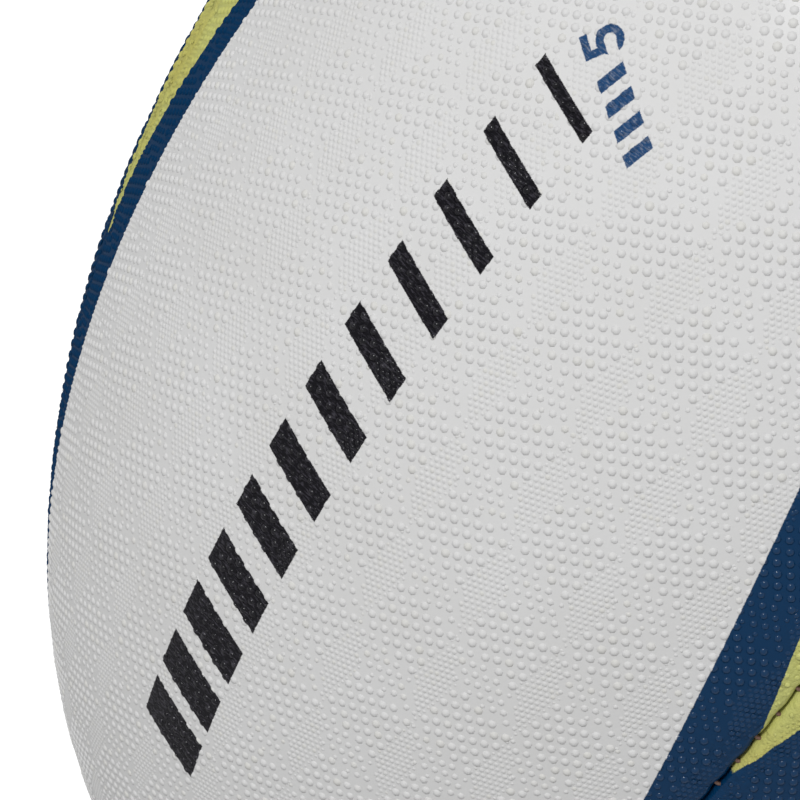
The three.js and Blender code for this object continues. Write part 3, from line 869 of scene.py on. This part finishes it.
def printed_rubber(name, grain_group, with_marks):
    """Off-white rubber with its printed stripes and, on some panels, black bars and the size."""
    material, nodes, shader = new_material(name, Specular_IOR_Level=0, Coat_Roughness=PRINT_COAT_ROUGHNESS)
    grain = nodes.group(grain_group, Grain=PRINT_GRAIN).outputs
    sheet = nodes.attribute("sheet", "Vector")
    tint = nodes.attribute("tint")
    stray = nodes.ramp(grain["Height"], *NOISE_SPAN, -PRINT_STRAY, PRINT_STRAY)
    navy = stripe_ink(nodes, "navy_edge", stray)
    lime = stripe_ink(nodes, "lime_edge", stray)
    white = white_rubber(nodes, grain["Mottle"], tint)
    lime_colour = nodes.mix(nodes.ramp(grain["Mottle"], *WORN_LIME_SPAN), INK_LIME, WORN_LIME)
    colour = nodes.mix(lime, nodes.mix(navy, white, INK_NAVY), lime_colour)
    inked = nodes.math("MAXIMUM", navy, lime)
    relief = seam_creases(nodes, sheet)
    if with_marks:
        colour, marked, raised = printed_marks(nodes, sheet, stray, white, colour)
        inked = nodes.math("MAXIMUM", inked, marked)
        relief = nodes.math("ADD", relief, raised)
    fine = nodes.math("MULTIPLY", grain["Height"], nodes.ramp(inked, 0, 1, *GRAIN_HEIGHT))
    nodes.set(shader["Base Color"], colour)
    nodes.set(shader["Roughness"], nodes.ramp(grain["Mottle"], *NOISE_SPAN, *PRINT_ROUGHNESS))
    nodes.set(shader["Coat Weight"], coat_weight(nodes, inked, tint))
    nodes.set(shader["Normal"], nodes.bump(nodes.math("ADD", relief, fine), *PRINT_BUMP))
    return material


# Finishes without print


def plain_rubber(grain_group, name, colours, roughness, grain_size):
    """Moulded rubber without print, a little paler where it is dusty."""
    material, nodes, shader = new_material(name)
    grain = nodes.group(grain_group, Grain=grain_size).outputs
    rough = nodes.ramp(grain["Mottle"], *NOISE_SPAN, roughness, roughness + PLAIN_ROUGHNESS_RISE)
    nodes.set(shader["Base Color"], nodes.mix(nodes.ramp(grain["Mottle"], *DUSTY_SPAN), *colours))
    nodes.set(shader["Roughness"], rough)
    nodes.set(shader["Normal"], nodes.bump(grain["Height"], *PLAIN_BUMP))
    return material


def ply_cloth():
    material, nodes, shader = new_material("ply_cloth", Sheen_Weight=CLOTH_SHEEN)
    weave = nodes.group(cloth_weave_group(), Pitch=CLOTH_PITCH).outputs
    nodes.set(shader["Base Color"], nodes.mix(weave["Shade"], *CLOTH_COLOURS))
    nodes.set(shader["Roughness"], nodes.ramp(weave["Shade"], 0, 1, *CLOTH_ROUGHNESS))
    nodes.set(shader["Normal"], nodes.bump(weave["Height"], *CLOTH_BUMP))
    return material


def waxed_thread(grain_group):
    material, nodes, shader = new_material("waxed_thread")
    height = nodes.group(grain_group, Grain=THREAD_GRAIN).outputs["Height"]
    nodes.set(shader["Base Color"], nodes.mix(nodes.ramp(height, *THREAD_COLOUR_SPAN), *THREAD_COLOURS))
    nodes.set(shader["Roughness"], nodes.ramp(height, *NOISE_SPAN, *THREAD_ROUGHNESS))
    nodes.set(shader["Normal"], nodes.bump(height, *THREAD_BUMP))
    return material


# Studio

# The floor glows a little where it is seen, so that it looks white apart from the ball's shadow
FLOOR_HALF_SIDE = 3.0
FLOOR_COLOUR = srgb(240, 240, 240)
FLOOR_ROUGHNESS = 0.9
FLOOR_GLOW = 1.3
FLOOR_GLOW_SHARE = 0.72
PURE_WHITE = (1, 1, 1, 1)

# Strength of the white surroundings as a light, and as they are seen
SKY_LIGHT = 0.475
SKY_SEEN = 1.0

# Key lamp: shares of the ways back from the picture, up and right in it that add up to its own way, its
# distance and side in metres, and its power
KEY_WAY_SHARES = (0.91, 0.3, -0.26)
KEY_DISTANCE = 1.2
KEY_SIDE = 0.13
KEY_POWER = 8.0

# Camera that stands where the photograph's did: its place in metres, the ways right and up in the
# picture, its lens and film in millimetres, and how far the picture is shifted
CAMERA_PLACE = Vector((0.1226, -0.1701, 0.4025))
CAMERA_RIGHT = Vector((0.522, -0.647, -0.555))
CAMERA_UP = Vector((0.771, 0.637, -0.018))
CAMERA_LENS = 128.7
CAMERA_FILM = 36
CAMERA_SHIFT = (-0.0357, 0.0438)
CAMERA_NEAREST = 0.01


def seen_rays(nodes):
    """One for rays from the camera, a mirrored surface or glass, and nought for rays that only light."""
    rays = nodes.add("ShaderNodeLightPath").outputs
    return nodes.chain("MAXIMUM", rays["Is Camera Ray"], rays["Is Glossy Ray"], rays["Is Transmission Ray"])


def pale_floor():
    material, nodes, _ = new_material("studio_floor", Base_Color=FLOOR_COLOUR, Roughness=FLOOR_ROUGHNESS)
    diffuse = material.node_tree.nodes["Principled BSDF"].outputs[0]
    glow = nodes.add("ShaderNodeEmission", {"Color": PURE_WHITE, "Strength": FLOOR_GLOW}).outputs[0]
    share = nodes.math("MULTIPLY", seen_rays(nodes), FLOOR_GLOW_SHARE)
    mixed = nodes.add("ShaderNodeMixShader", {0: share, 1: diffuse, 2: glow})
    nodes.set(material.node_tree.nodes["Material Output"].inputs["Surface"], mixed.outputs[0])
    return material


def add_floor():
    plane = bmesh.new()
    bmesh.ops.create_grid(plane, x_segments=1, y_segments=1, size=FLOOR_HALF_SIDE)
    bmesh.ops.translate(plane, verts=plane.verts, vec=(0, 0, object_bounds()[0][2]))
    mesh = bpy.data.meshes.new("studio_floor")
    plane.to_mesh(mesh)
    plane.free()
    mesh.materials.append(pale_floor())
    floor = bpy.data.objects.new("studio_floor", mesh)
    bpy.context.scene.collection.objects.link(floor)


def add_camera():
    """Adds the camera and gives back the way out of the picture, towards it."""
    right = CAMERA_RIGHT.normalized()
    back = right.cross(CAMERA_UP).normalized()
    turn = Matrix((right, back.cross(right), back)).transposed().to_4x4()
    lens = bpy.data.cameras.new("camera")
    lens.lens, lens.sensor_width = CAMERA_LENS, CAMERA_FILM
    lens.shift_x, lens.shift_y = CAMERA_SHIFT
    lens.clip_start = CAMERA_NEAREST
    camera = bpy.data.objects.new("camera", lens)
    camera.matrix_world = Matrix.Translation(CAMERA_PLACE) @ turn
    bpy.context.scene.collection.objects.link(camera)
    bpy.context.scene.camera = camera
    return back


def add_key_lamp(back):
    """A square soft lamp above and to the left of the camera."""
    lamp = bpy.data.lights.new("key_lamp", "AREA")
    lamp.shape, lamp.size, lamp.energy = "SQUARE", KEY_SIDE, KEY_POWER
    body = bpy.data.objects.new("key_lamp", lamp)
    from_back, from_up, from_right = KEY_WAY_SHARES
    way = (from_back * back + from_up * CAMERA_UP + from_right * CAMERA_RIGHT).normalized()
    turn = way.to_track_quat("Z", "Y").to_matrix().to_4x4()
    body.matrix_world = Matrix.Translation(KEY_DISTANCE * way) @ turn
    bpy.context.scene.collection.objects.link(body)


def add_world():
    world = bpy.data.worlds.new("studio")
    world.use_nodes = True
    nodes = Nodes(world.node_tree)
    background = world.node_tree.nodes["Background"].inputs
    background["Color"].default_value = PURE_WHITE
    nodes.set(background["Strength"], nodes.ramp(seen_rays(nodes), 0, 1, SKY_LIGHT, SKY_SEEN))
    bpy.context.scene.world = world


def add_studio():
    add_floor()
    add_key_lamp(add_camera())
    add_world()
    bpy.context.scene.view_settings.view_transform = "Standard"


# The ball


def give_material(names, material):
    """Gives pieces that stay as the CAD has them their material."""
    for name in names:
        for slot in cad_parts[name].material_slots:
            slot.material = material


def build_ball():
    random = np.random.default_rng(RANDOM_SEED)
    grain_group = rubber_grain_group()
    barred = printed_rubber("printed_rubber_barred", grain_group, True)
    plain = printed_rubber("printed_rubber_plain", grain_group, False)
    thread = waxed_thread(grain_group)
    sides = list(PANELS)
    for side, quarter_turns in PANELS.items():
        rubber = barred if side in ("top", "bottom") else plain
        panel_sheet(side, quarter_turns, rubber)
        for size in GRIP:
            grip_pimples(size, side, quarter_turns, rubber, random)
        seam = f"{side}_{sides[(quarter_turns + 1) % len(sides)]}"
        sewn_thread("sewing_" + seam, quarter_turns + 0.5, thread, "seam_thread_" + seam)
    cloth = ply_cloth()
    give_material([f"{layer}_ply_{side}" for layer in ("outer", "inner") for side in PANELS], cloth)
    give_material(["valve_patch"], cloth)
    for node, finish in PLAIN_RUBBERS.items():
        give_material([node], plain_rubber(grain_group, **finish))


build_ball()
add_studio()
